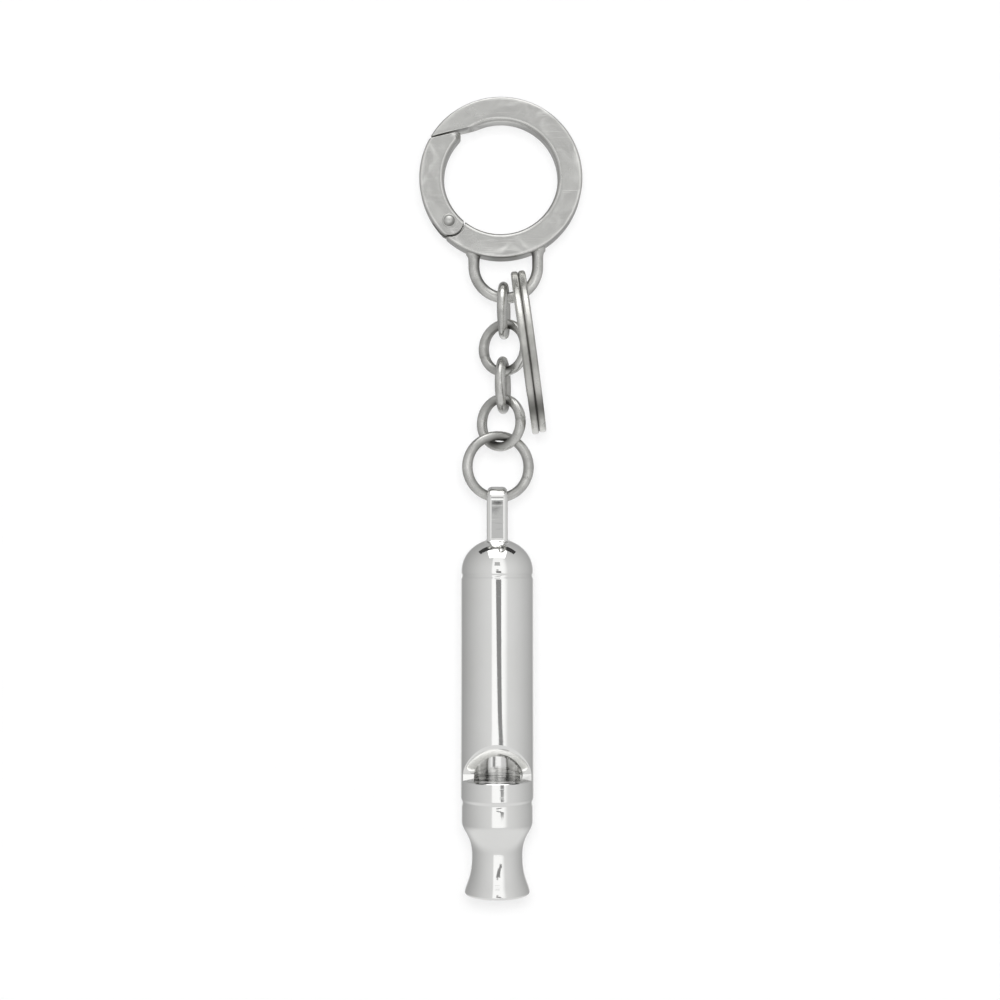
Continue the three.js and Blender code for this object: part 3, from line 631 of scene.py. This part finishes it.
def lug_grid():
    """An eyelet: for each point of the lug's outer edge, a closed loop runs from the cross hole's waist
    out to its mouth, over the lug's face, round the eased edge and back on the other side. The edge is a
    half circle above the hole and runs straight down below it. Near the dome it flares on a circle of the
    fillet's radius, which starts so far above the dome that the two meet on the same slope. Also gives a
    painted shade for each point, a bell curve of the turn round the eased edge, which dims its highlight."""
    over = np.linspace(0, np.pi, 61)
    upper_side = np.linspace(0, lug_foot, 17)[1:]
    lower_side = np.linspace(lug_foot, lug_low, 121)[1:]
    side = np.concatenate([[-0.04], upper_side, lower_side])
    under = np.linspace(-lug_round, lug_round, 24)[1:-1]
    left, right = -lug_round + 0 * side, lug_round + 0 * side
    rim_y = np.concatenate([lug_round * np.cos(over), left, under, right])
    rim_z = np.concatenate([lug_round * np.sin(over), side, lug_low + 0 * under, side[::-1]])
    reach = np.hypot(rim_y, rim_z)[:, None]
    mouth = np.linspace(0, 1, 8)
    face = np.concatenate([np.linspace(0, 0.75, 10)[1:], np.linspace(0.75, 1, 36)[1:]])
    edge = np.linspace(0, np.pi / 2, 13)[1:]
    deep = lug_ease_deep * reach / lug_round
    mouth_radius = lug_hole + (lug_mouth - lug_hole) * mouth**3 + 0 * reach
    face_radius = lug_mouth + (reach - deep - lug_mouth) * face
    edge_radius = reach - deep * (1 - np.sin(edge))
    edge_width = lug_half - lug_ease_across * (1 - np.cos(edge))
    flat = edge_width[-1] * np.array([0.96, 0.5, 0.0])
    radius = np.hstack([mouth_radius, face_radius, edge_radius, reach + 0 * flat])
    width = np.concatenate([lug_half * mouth, lug_half + 0 * face, edge_width, flat])
    radius = np.hstack([radius, radius[:, -2:0:-1]])
    across = np.concatenate([width, -width[-2:0:-1]])[None] + 0 * reach
    y = radius * rim_y[:, None] / reach
    z = radius * rim_z[:, None] / reach
    taper = np.clip((z - lug_taper_from) / (lug_round - lug_taper_from), 0, 1)
    across = across * (1 - lug_taper * taper**2)
    from_axis = np.hypot(across, y)
    fall = 1 - np.sqrt(1 - ((from_axis + fillet_out * lug_fillet) / dome_wide) ** 2)
    meet = dome_top - lug_z - dome_high * fall
    near = np.clip((meet + fillet_up * lug_fillet - z) / lug_fillet, 0, fillet_end)
    flare = 1 + lug_fillet * (1 - np.sqrt(1 - near**2)) / np.maximum(from_axis, 1.0)
    # Painted shade on the lug's eased edges, dimming their highlight.
    dull = np.concatenate([0 * mouth, 0 * face, lug_edge_shade * bell(edge - 1.38, 0.3), 0 * flat])
    dull = np.concatenate([dull, dull[-2:0:-1]])[None] + 0 * reach
    return np.stack([whistle_x + across * flare, y * flare, z + lug_z], axis=-1), dull


def soft_step(start, end):
    """Profile points from one (radius, height) to another: the radius moves on half a wave of a cosine."""
    share = (1 - np.cos(np.linspace(0, np.pi, seam_steps))) / 2
    radius = start[0] + (end[0] - start[0]) * share
    return np.stack([radius, np.linspace(start[1], end[1], seam_steps)], axis=1)


quarter_turn = np.linspace(0, np.pi / 2, 49)
dome_arc = [dome_wide, dome_high] * np.stack([np.cos(quarter_turn), np.sin(quarter_turn)], axis=1)
seam_middle = (seam_wide, barrel_top + seam_high)
cap_profile = np.vstack(
    [
        [[0, spigot_foot], [spigot_wide, spigot_foot], [spigot_wide, barrel_top]],
        soft_step((press_wide, barrel_top), seam_middle),
        soft_step(seam_middle, (dome_wide, barrel_top + 2 * seam_high))[1:],
        dome_arc + [0, dome_foot],
    ]
)
cap_profile[-1, 0] = 0
cap_grid = turned(cap_profile, 160) + [whistle_x, 0, 0]
lug, lug_shade = lug_grid()
end_cap = join_sheets(
    "end_cap_polished",
    [(cap_grid, False, True), (lug, True, True)],
    24,
    np.concatenate([np.zeros(cap_grid[..., 0].size), lug_shade.ravel()]),
)
mirror_silver = silver(
    "mirror_silver", (0.9, 0.9, 0.89), (0.87, 0.87, 0.855), (0.02, 0.045), (120, 90), (0.06, 0.06)
)
end_cap.data.materials.append(mirror_silver)
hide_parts("end_cap")
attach(end_cap, "whistle")

# Whistle barrel
# A thick polished tube, pressed over the cap's spigot. The window is sawn into its front near the
# foot: a flat ledge, a short upright face and a slanted cut up to the surface.
barrel_long, ledge_rise = 39.3, 3.15
barrel_foot = barrel_top - barrel_long
ledge = barrel_foot + ledge_rise
window_face, window_upright, window_rise = 2.4, 1.0, 5.2
window_bend, window_bend_rise = 0.5, 0.7
# Painted shade inside the bore, on the window's ledge and along the slanted cut's inner edge.
bore_shade, ledge_shade, ledge_ease, window_lip_shade = 0.06, 0.3, 0.16, 0.85
socket_wide, socket_top = barrel_bore + 0.75, barrel_foot + 2.2


def around_window(radius, share_front, share_back):
    """Angles round the tube whose columns keep to the window's upright face at every radius: the front
    shares run from one side of the face to the other, and the back shares run round behind it."""
    side = np.arccos(window_face / radius)
    return np.concatenate([side * share_front, side + (2 * np.pi - 2 * side) * share_back])


def on_tube(radius, angle, height):
    """Points round the whistle's axis, from the front."""
    x, y = whistle_x + radius * np.sin(angle), -radius * np.cos(angle)
    return np.stack([x, y, height + 0 * angle], axis=-1)


def barrel_sheets():
    """The tube's outer and inner walls above and below the ledge, with the window's own faces, and the
    painted shade on each point. In front the upper walls end on the window's cut, whose height rises with
    the way forward: an upright face, a quarter circle and a straight slant. Behind they run down to the
    ledge."""
    front = np.sin(np.linspace(-np.pi / 2, np.pi / 2, 121))
    back = np.linspace(0, 1, 145)
    count = len(front)
    outer_angle = around_window(barrel_wide, front, back)
    inner_angle = around_window(barrel_bore, front, back)
    slant = window_rise / (barrel_wide - window_face)

    def lower_edge(radius, angle):
        """Height at which an upper wall ends: the window's cut in front, the ledge's level behind."""
        forward = np.clip(radius * np.cos(angle[:count]) - window_face, 0, None)
        bend = np.sqrt(1 - (1 - np.clip(forward / window_bend, 0, 1)) ** 2)
        cut = ledge + window_upright + window_bend_rise * bend + slant * forward
        return np.concatenate([cut, np.full(len(back), ledge)])

    outer_low = on_tube(barrel_wide, outer_angle, lower_edge(barrel_wide, outer_angle))
    inner_low = on_tube(barrel_bore, inner_angle, lower_edge(barrel_bore, inner_angle))
    outer_top = on_tube(barrel_wide, outer_angle, barrel_top)
    outer_foot = on_tube(barrel_wide, outer_angle, barrel_foot)
    inner_top = on_tube(barrel_bore, inner_angle, barrel_top)
    ease = ledge_ease * np.concatenate([1 - front**8, 0 * back])
    outer_ledge = on_tube(barrel_wide, outer_angle, ledge - ease)
    eased_ledge = on_tube(barrel_wide - ease, outer_angle, ledge)
    inner_ledge = on_tube(barrel_bore, inner_angle, ledge)
    socket_low = on_tube(socket_wide, inner_angle, barrel_foot)
    socket_high = on_tube(socket_wide, inner_angle, socket_top)
    socket_step = on_tube(barrel_bore, inner_angle, socket_top)
    cut = np.r_[-1, np.arange(count), count]
    cut_share = np.array([0, 0.76, 0.82, 1.0])[:, None, None]
    cut_face = (outer_low + (inner_low - outer_low) * cut_share)[:, cut]
    ledge_face = eased_ledge + (inner_ledge - eased_ledge) * cut_share
    upper_wall = [outer_low, outer_top, inner_top, inner_low]
    foot_wall = [inner_ledge, socket_step, socket_high, socket_low, outer_foot, outer_ledge]
    sheets = [
        (np.stack(upper_wall), False, True),
        (cut_face, False, False),
        (np.stack(foot_wall), False, True),
        (np.vstack([outer_ledge[None], ledge_face])[:, :count], False, False),
    ]
    # Painted shadow along the inner edge of the slanted cut.
    lip_share = np.clip(np.r_[0, outer_angle[:count], 0] / 0.12, 0, 1)
    painted_shades = [
        np.array([0, 0, 1, 1])[:, None] * bore_shade + 0 * outer_angle,
        np.array([0, 0, 1, 1])[:, None] * window_lip_shade * lip_share,
        np.array([1, 1, 1, 1, 0, 0])[:, None] * bore_shade + 0 * outer_angle,
        np.array([0, 0.5, 1, 1, 1])[:, None] * ledge_shade + np.zeros(count),
    ]
    return sheets, 34, np.concatenate([stain.ravel() for stain in painted_shades])


barrel = join_sheets("barrel_polished", *barrel_sheets())
polished_silver = silver(
    "polished_silver", (0.9, 0.9, 0.89), (0.87, 0.87, 0.855), (0.045, 0.1), (120, 90), (0.06, 0.06)
)
barrel.data.materials.append(polished_silver)
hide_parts("barrel")
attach(barrel, "whistle")

# Whistle mouthpiece
# A turned end pressed into the barrel's foot: a shallow groove, a collar, a waist and a flared rim with
# a rounded lip, bored through for the breath.
groove_high, collar_high, shoulder_high, flare_high = 2.0, 2.2, 6.3, 6.4
collar_top = barrel_foot - groove_high
collar_foot = collar_top - collar_high
waist = collar_foot - shoulder_high
rim = waist - flare_high
collar_wide, waist_wide, rim_wide, lip, bore_wide = 6.45, 4.57, 5.87, 0.5, 3.3
groove_middle = (6.33, barrel_foot - 1.0)
groove_end = (collar_wide, barrel_foot - 1.8)
plug_bore, plug_wide, plug_top = barrel_bore + 0.1, barrel_bore + 0.65, barrel_foot + 2.1
plenum_foot = collar_top - 1.9
bore_top = plenum_foot - 3.5


def bezier(points, count):
    """A cubic curve through its first and last points, drawn towards the two between."""
    t = np.linspace(0, 1, count)[:, None]
    a, b, c, d = np.array(points, float)
    return a * (1 - t) ** 3 + 3 * b * t * (1 - t) ** 2 + 3 * c * t**2 * (1 - t) + d * t**3


shoulder = bezier(
    [
        [collar_wide, collar_foot],
        [collar_wide, collar_foot - 2.0],
        [waist_wide, collar_foot - 2.4],
        [waist_wide, waist],
    ],
    40,
)
flare = bezier(
    [[waist_wide, waist], [waist_wide, waist - 3.9], [rim_wide - 0.32, waist - 4.6], [rim_wide, rim]], 40
)
lip_turn = quarter_turn[::4]
lip_arc = np.stack([rim_wide - lip + lip * np.cos(lip_turn), rim - lip * np.sin(lip_turn)], axis=1)
mouth_edge = [[0.5, 0.0], [0.15, 0.15], [0.0, 0.5]]
mouth_profile = np.vstack(
    [
        [[plug_bore, plug_top], [plug_wide, plug_top], [plug_wide, barrel_foot]],
        soft_step((press_wide, barrel_foot), groove_middle),
        soft_step(groove_middle, groove_end)[1:],
        shoulder,
        flare[1:],
        lip_arc[1:],
        np.array(mouth_edge) + [bore_wide, rim - lip],
        [[bore_wide, bore_top], [plug_bore, plenum_foot]],
    ]
)
mouth_grid = turned(mouth_profile, 160) + [whistle_x, 0, 0]
mouthpiece = join_sheets("mouthpiece_polished", [(mouth_grid, True, True)], 34)
mouthpiece.data.materials.append(polished_silver)
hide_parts("mouthpiece")
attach(mouthpiece, "whistle")

# Fipple block
# A plug below the window with a flat filed on its front, so that the breath runs up between the flat
# and the tube and meets the slanted edge.
block_wide, block_flat, block_high = barrel_bore - 0.1, 3.6, 6.5
block_ease_high, block_ease = 0.1, 0.98
block_angle = np.linspace(0, 2 * np.pi, 128, endpoint=False)
block_y = np.maximum(-block_wide * np.cos(block_angle), -block_flat)
block_outline = np.stack([whistle_x + block_wide * np.sin(block_angle), block_y], axis=1)


def block_ring(height, draw):
    """The block's outline at a height, drawn in towards its middle."""
    middle = block_outline.mean(axis=0)
    return np.insert(middle + (block_outline - middle) * draw, 2, height, axis=1)


block_grid = np.stack(
    [
        block_ring(ledge - block_high, 0.0),
        block_ring(ledge - block_high, 1.0),
        block_ring(ledge - block_ease_high, 1.0),
        block_ring(ledge, block_ease),
        block_ring(ledge, 0.0),
    ]
)
fipple_block = join_sheets("fipple_block_satin", [(block_grid, False, True)])
block_silver = silver(
    "block_silver", (0.76, 0.755, 0.74), (0.58, 0.58, 0.56), (0.18, 0.34), (420, 260), (0.05, 0.4)
)
fipple_block.data.materials.append(block_silver)
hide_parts("fipple_block")
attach(fipple_block, "whistle")

# Studio
# A pale sheet hangs well behind the keyring and sweeps out under it. A tall soft panel stands behind the
# camera, a little to the right, with another overhead. The room round them is a grey that darkens
# towards the back, with a dark gap overhead. The camera on its stand shows in the polished barrel as a
# dark line and its lens in the lug as a dark spot, and a grey flag above it keeps the ring's flat face
# from glaring.
room_front, room_back, room_below, room_lit, room_side = 0.75, 0.34, 0.76, 0.85, 0.03
sheet_grey, lift_least, lift_growth = 0.55, 0.412, 2.5
sheet_middle, keyring_middle = (0, 0.12, -0.03), (0, 0, -0.1)


def room_group():
    """How bright the grey room is in a given direction: lighter in front than behind, a little lighter on
    the right, even below, and bright straight behind, where the sheet is lit."""
    group = bpy.data.node_groups.new("grey_room", "ShaderNodeTree")
    group.interface.new_socket("Direction", in_out="INPUT", socket_type="NodeSocketVector")
    group.interface.new_socket("Level", in_out="OUTPUT", socket_type="NodeSocketFloat")
    given = group.nodes.new("NodeGroupInput")
    unit = group.nodes.new("ShaderNodeVectorMath")
    unit.operation = "NORMALIZE"
    fill(group, unit, {0: given.outputs["Direction"]})
    part = add_node(group, "ShaderNodeSeparateXYZ", {"Vector": unit.outputs["Vector"]}).outputs
    depth = ranged(group, part["Y"], -1, 1, room_front, room_back)
    side = worked_out(group, "MULTIPLY_ADD", part["X"], room_side, depth)
    under = ranged(group, part["Z"], -0.35, -0.75, run="SMOOTHSTEP")
    behind = ranged(group, part["Y"], 0.78, 0.97, run="SMOOTHSTEP")
    level = mixed(group, behind, mixed(group, under, side, room_below), room_lit)
    add_node(group, "NodeGroupOutput", {"Level": level})
    return group


grey_room = room_group()


def empty_material(name):
    """A material with no nodes yet, and its tree."""
    material = bpy.data.materials.new(name)
    material.use_nodes = True
    material.node_tree.nodes.clear()
    return material, material.node_tree


def sheet_material():
    """Pale card, lifted to white where the camera sees it, with its shadows kept: the lift grows with the
    square of the way from the middle, as the light falls off. Metal and glass see the card as part of the
    grey room, and from behind it is clear."""
    material, tree = empty_material("pale_sheet")
    path = tree.nodes.new("ShaderNodeLightPath").outputs
    place = tree.nodes.new("ShaderNodeTexCoord").outputs["Object"]
    card = add_node(tree, "ShaderNodeBsdfDiffuse", {"Color": (sheet_grey, sheet_grey, sheet_grey, 1)})
    off = tree.nodes.new("ShaderNodeVectorMath")
    off.operation = "DISTANCE"
    away = fill(tree, off, {0: place, 1: sheet_middle}).outputs["Value"]
    square = worked_out(tree, "MULTIPLY", away, away)
    lift = worked_out(tree, "MULTIPLY_ADD", square, lift_growth, lift_least)
    strength = worked_out(tree, "MULTIPLY", path["Is Camera Ray"], lift)
    white = add_node(tree, "ShaderNodeEmission", {"Strength": strength})
    lit = {0: card.outputs["BSDF"], 1: white.outputs["Emission"]}
    seen = add_node(tree, "ShaderNodeAddShader", lit)
    way = tree.nodes.new("ShaderNodeVectorMath")
    way.operation = "SUBTRACT"
    fill(tree, way, {0: place, 1: keyring_middle})
    room = tree.nodes.new("ShaderNodeGroup")
    room.node_tree = grey_room
    fill(tree, room, {"Direction": way.outputs["Vector"]})
    grey = add_node(tree, "ShaderNodeEmission", {"Color": room.outputs["Level"]})
    mirrored = worked_out(tree, "MAXIMUM", path["Is Glossy Ray"], path["Is Transmission Ray"])
    faces = {"Fac": mirrored, 1: seen.outputs["Shader"], 2: grey.outputs["Emission"]}
    front = add_node(tree, "ShaderNodeMixShader", faces)
    clear = tree.nodes.new("ShaderNodeBsdfTransparent")
    turned_away = tree.nodes.new("ShaderNodeNewGeometry").outputs["Backfacing"]
    sides = {"Fac": turned_away, 1: front.outputs["Shader"], 2: clear.outputs["BSDF"]}
    choose = add_node(tree, "ShaderNodeMixShader", sides)
    add_node(tree, "ShaderNodeOutputMaterial", {"Surface": choose.outputs["Shader"]})
    return material


sheet_back, sheet_front, sheet_top, sheet_floor = 120.0, -400.0, 600.0, -250.0
sheet_bend, sheet_wide = 40.0, 600.0
sweep_turn = np.linspace(0, np.pi / 2, 17)
sweep_y = sheet_back - sheet_bend * (1 - np.cos(sweep_turn))
sweep_z = sheet_floor + sheet_bend * (1 - np.sin(sweep_turn))
sheet_y = np.concatenate([[sheet_back], sweep_y, [sheet_front]])
sheet_z = np.concatenate([[sheet_top], sweep_z, [sheet_floor]])
sheet_rows = np.stack([0 * sheet_y, sheet_y, sheet_z], axis=1)[:, None]
sheet_grid = sheet_rows + np.array([[sheet_wide, 0, 0], [-sheet_wide, 0, 0]])
sheet_faces = np.arange(len(sheet_y) - 1)[:, None] * 2 + [0, 1, 3, 2]
sheet_mesh = bpy.data.meshes.new("pale_sheet")
sheet_mesh.from_pydata((sheet_grid.reshape(-1, 3) * mm).tolist(), [], sheet_faces.tolist())
sheet_mesh.shade_smooth()
sheet_mesh.materials.append(sheet_material())
pale_sheet = bpy.data.objects.new("pale_sheet", sheet_mesh)
bpy.context.scene.collection.objects.link(pale_sheet)


def glowing_card(name, corners, level, fade=None):
    """A card that only reflections and the light see. Its glow is even, or fades in over the first of the
    two given spans of x and out over the second, where the card is clear."""
    mesh = bpy.data.meshes.new(name)
    mesh.from_pydata((np.array(corners) * mm).tolist(), [], [list(range(len(corners)))])
    material, tree = empty_material(name)
    glow = add_node(tree, "ShaderNodeEmission", {"Strength": level})
    surface = glow.outputs["Emission"]
    if fade:
        place = tree.nodes.new("ShaderNodeTexCoord").outputs["Object"]
        x = add_node(tree, "ShaderNodeSeparateXYZ", {"Vector": place}).outputs["X"]
        spans = [ranged(tree, x, start * mm, end * mm, 0, level, "SMOOTHSTEP") for start, end in fade]
        fill(tree, glow, {"Strength": worked_out(tree, "MINIMUM", *spans)})
        clear = tree.nodes.new("ShaderNodeBsdfTransparent")
        both = add_node(tree, "ShaderNodeAddShader", {0: surface, 1: clear.outputs["BSDF"]})
        surface = both.outputs["Shader"]
    add_node(tree, "ShaderNodeOutputMaterial", {"Surface": surface})
    mesh.materials.append(material)
    card = bpy.data.objects.new(name, mesh)
    card.visible_camera = False
    card.visible_shadow = False
    bpy.context.scene.collection.objects.link(card)


def upright(left, right, low, high, y):
    """Corners of an upright rectangle that faces the keyring."""
    return [(left, y, low), (right, y, low), (right, y, high), (left, y, high)]


panel_y, card_y = -330.0, -290.0
glowing_card("front_panel", upright(-120, 245, -420, 420, panel_y), 0.33, [(-117, -84), (242, 105)])
stand_middle = np.array([18.0, 21, 25, 31, 44, 74, 89])
stand_half = np.array([44, 42, 38, 35, 33, 33, 26])
stand_z = np.array([-68, -76, -93, -110, -128, -146, -162])
stand_left = np.stack([stand_middle - stand_half, card_y + 0 * stand_middle, stand_z], axis=1)
stand_right = np.stack([stand_middle + stand_half, card_y + 0 * stand_middle, stand_z], axis=1)
glowing_card("camera_stand", np.vstack([stand_left, stand_right[::-1]]), 0.26)
glowing_card("camera_head", upright(-16, 20, -68, -38, card_y), 0.55)
glass_centre, glass_radius = [-1.3, card_y + 0.5, -48.0], 1.6
glass_turn = np.linspace(0, 2 * np.pi, 16, endpoint=False)
glass_edge = np.stack([np.cos(glass_turn), 0 * glass_turn, np.sin(glass_turn)], axis=1)
glowing_card("camera_glass", glass_centre + glass_radius * glass_edge, 0.02)
glowing_card("ring_flag", upright(-46, 48, 36, 128, card_y), 0.48)
glowing_card("ceiling_gap", [(-260, -5, 250), (260, -5, 250), (260, 125, 250), (-260, 125, 250)], 0.05)


def soft_lamp(name, place, aim, size, power, mirrored=True):
    """A rectangular lamp at place, turned to face aim."""
    lamp = bpy.data.lights.new(name, "AREA")
    lamp.shape = "RECTANGLE"
    lamp.size, lamp.size_y = size
    lamp.energy = power
    holder = bpy.data.objects.new(name, lamp)
    way = np.array(aim, float) - np.array(place, float)
    rise = math.atan2(way[2], math.hypot(way[0], way[1]))
    holder.location = place
    holder.rotation_euler = (math.pi / 2 + rise, 0, math.atan2(-way[0], way[1]))
    holder.visible_glossy = mirrored
    bpy.context.scene.collection.objects.link(holder)


soft_lamp("top_lamp", (0.0, -0.12, 0.32), (0, 0, -0.06), (0.34, 0.3), 0.35)
soft_lamp("shadow_lamp", (0.0, -0.264, -0.0685), (0, 0.12, -0.06), (0.009, 0.009), 0.55, False)

world = bpy.data.worlds.new("grey_room")
bpy.context.scene.world = world
world.use_nodes = True
sky = world.node_tree
sky.nodes.clear()
sky_way = sky.nodes.new("ShaderNodeTexCoord").outputs["Generated"]
sky_room = sky.nodes.new("ShaderNodeGroup")
sky_room.node_tree = grey_room
fill(sky, sky_room, {"Direction": sky_way})
sky_seen = sky.nodes.new("ShaderNodeLightPath").outputs["Is Camera Ray"]
sky_level = worked_out(sky, "MAXIMUM", sky_room.outputs["Level"], sky_seen)
sky_glow = add_node(sky, "ShaderNodeBackground", {"Color": sky_level})
add_node(sky, "ShaderNodeOutputWorld", {"Surface": sky_glow.outputs["Background"]})

camera_lens = bpy.data.cameras.new("photo_camera")
camera_lens.lens = 52.49
camera_lens.sensor_width = 36
camera_lens.clip_start = 0.005
photo_camera = bpy.data.objects.new("photo_camera", camera_lens)
photo_camera.location = (-0.00015, -0.2664, -0.07212)
photo_camera.rotation_euler = (math.radians(92.75), 0, 0)
bpy.context.scene.collection.objects.link(photo_camera)
bpy.context.scene.camera = photo_camera
bpy.context.scene.view_settings.view_transform = "Standard"
